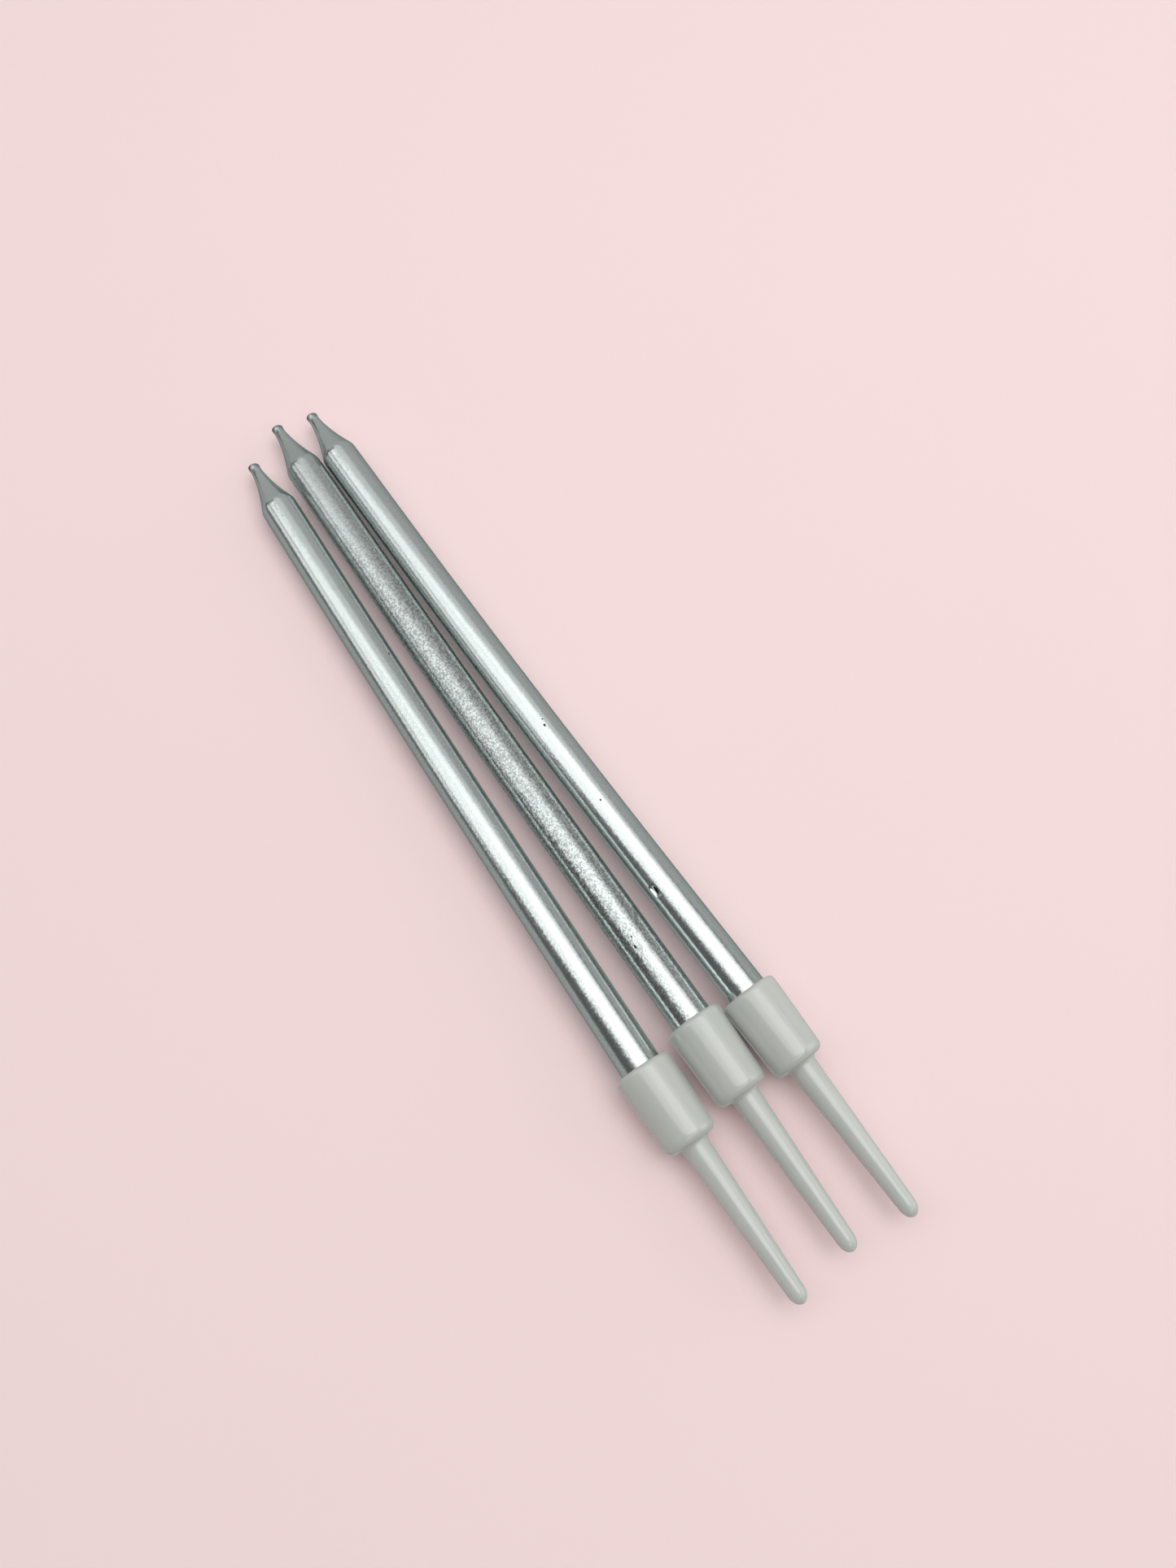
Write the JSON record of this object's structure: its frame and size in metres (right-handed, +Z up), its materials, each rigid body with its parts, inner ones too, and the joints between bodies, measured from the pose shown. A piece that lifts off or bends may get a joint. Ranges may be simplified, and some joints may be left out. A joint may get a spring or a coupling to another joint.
{
  "type": "cake candle set",
  "caption": "Slim metallic-lacquered cake candles with pointed tips, each pushed into a white plastic holder with a spike, lying side by side.",
  "frame": {"origin": "middle of the set's footprint, on the surface that it lies on", "axes": "+Y along the middle candle towards its tip, +Z up, +X across the row to the right-hand candle"},
  "size_m": [0.0258, 0.1534, 0.0082],
  "materials": {
    "silver_lacquer": "satin metallic silver lacquer over wax",
    "grainy_silver_lacquer": "metallic silver lacquer over wax with a coarse sparkling grain",
    "white_plastic": "glossy moulded polystyrene",
    "wick_cotton": "waxed braided cotton, cut flush"
  },
  "bodies": {
    "middle_holder": {"middle_holder": "white_plastic"},
    "middle_candle": {"middle_candle": "grainy_silver_lacquer", "middle_wick": "wick_cotton"},
    "left_holder": {"left_holder": "white_plastic"},
    "left_candle": {"left_candle": "silver_lacquer", "left_wick": "wick_cotton"},
    "right_holder": {"right_holder": "white_plastic"},
    "right_candle": {"right_candle": "silver_lacquer", "right_wick": "wick_cotton"}
  },
  "joints": [
    {"name": "middle_candle_pull", "type": "slide", "parent": "middle_holder", "child": "middle_candle", "axis": [0, 0.9999, -0.011], "range_m": [-0.0031, 0.0066]},
    {"name": "left_stick_apart", "type": "slide", "parent": "middle_holder", "child": "left_holder", "axis": [-1, 0, 0], "range_m": [0, 0.03]},
    {"name": "left_candle_pull", "type": "slide", "parent": "left_holder", "child": "left_candle", "axis": [0.0237, 0.9997, -0.0114], "range_m": [0, 0.0097]},
    {"name": "right_stick_apart", "type": "slide", "parent": "middle_holder", "child": "right_holder", "axis": [1, 0, 0], "range_m": [0, 0.03]},
    {"name": "right_candle_pull", "type": "slide", "parent": "right_holder", "child": "right_candle", "axis": [-0.0206, 0.9997, -0.011], "range_m": [-0.0031, 0.0066]}
  ]
}
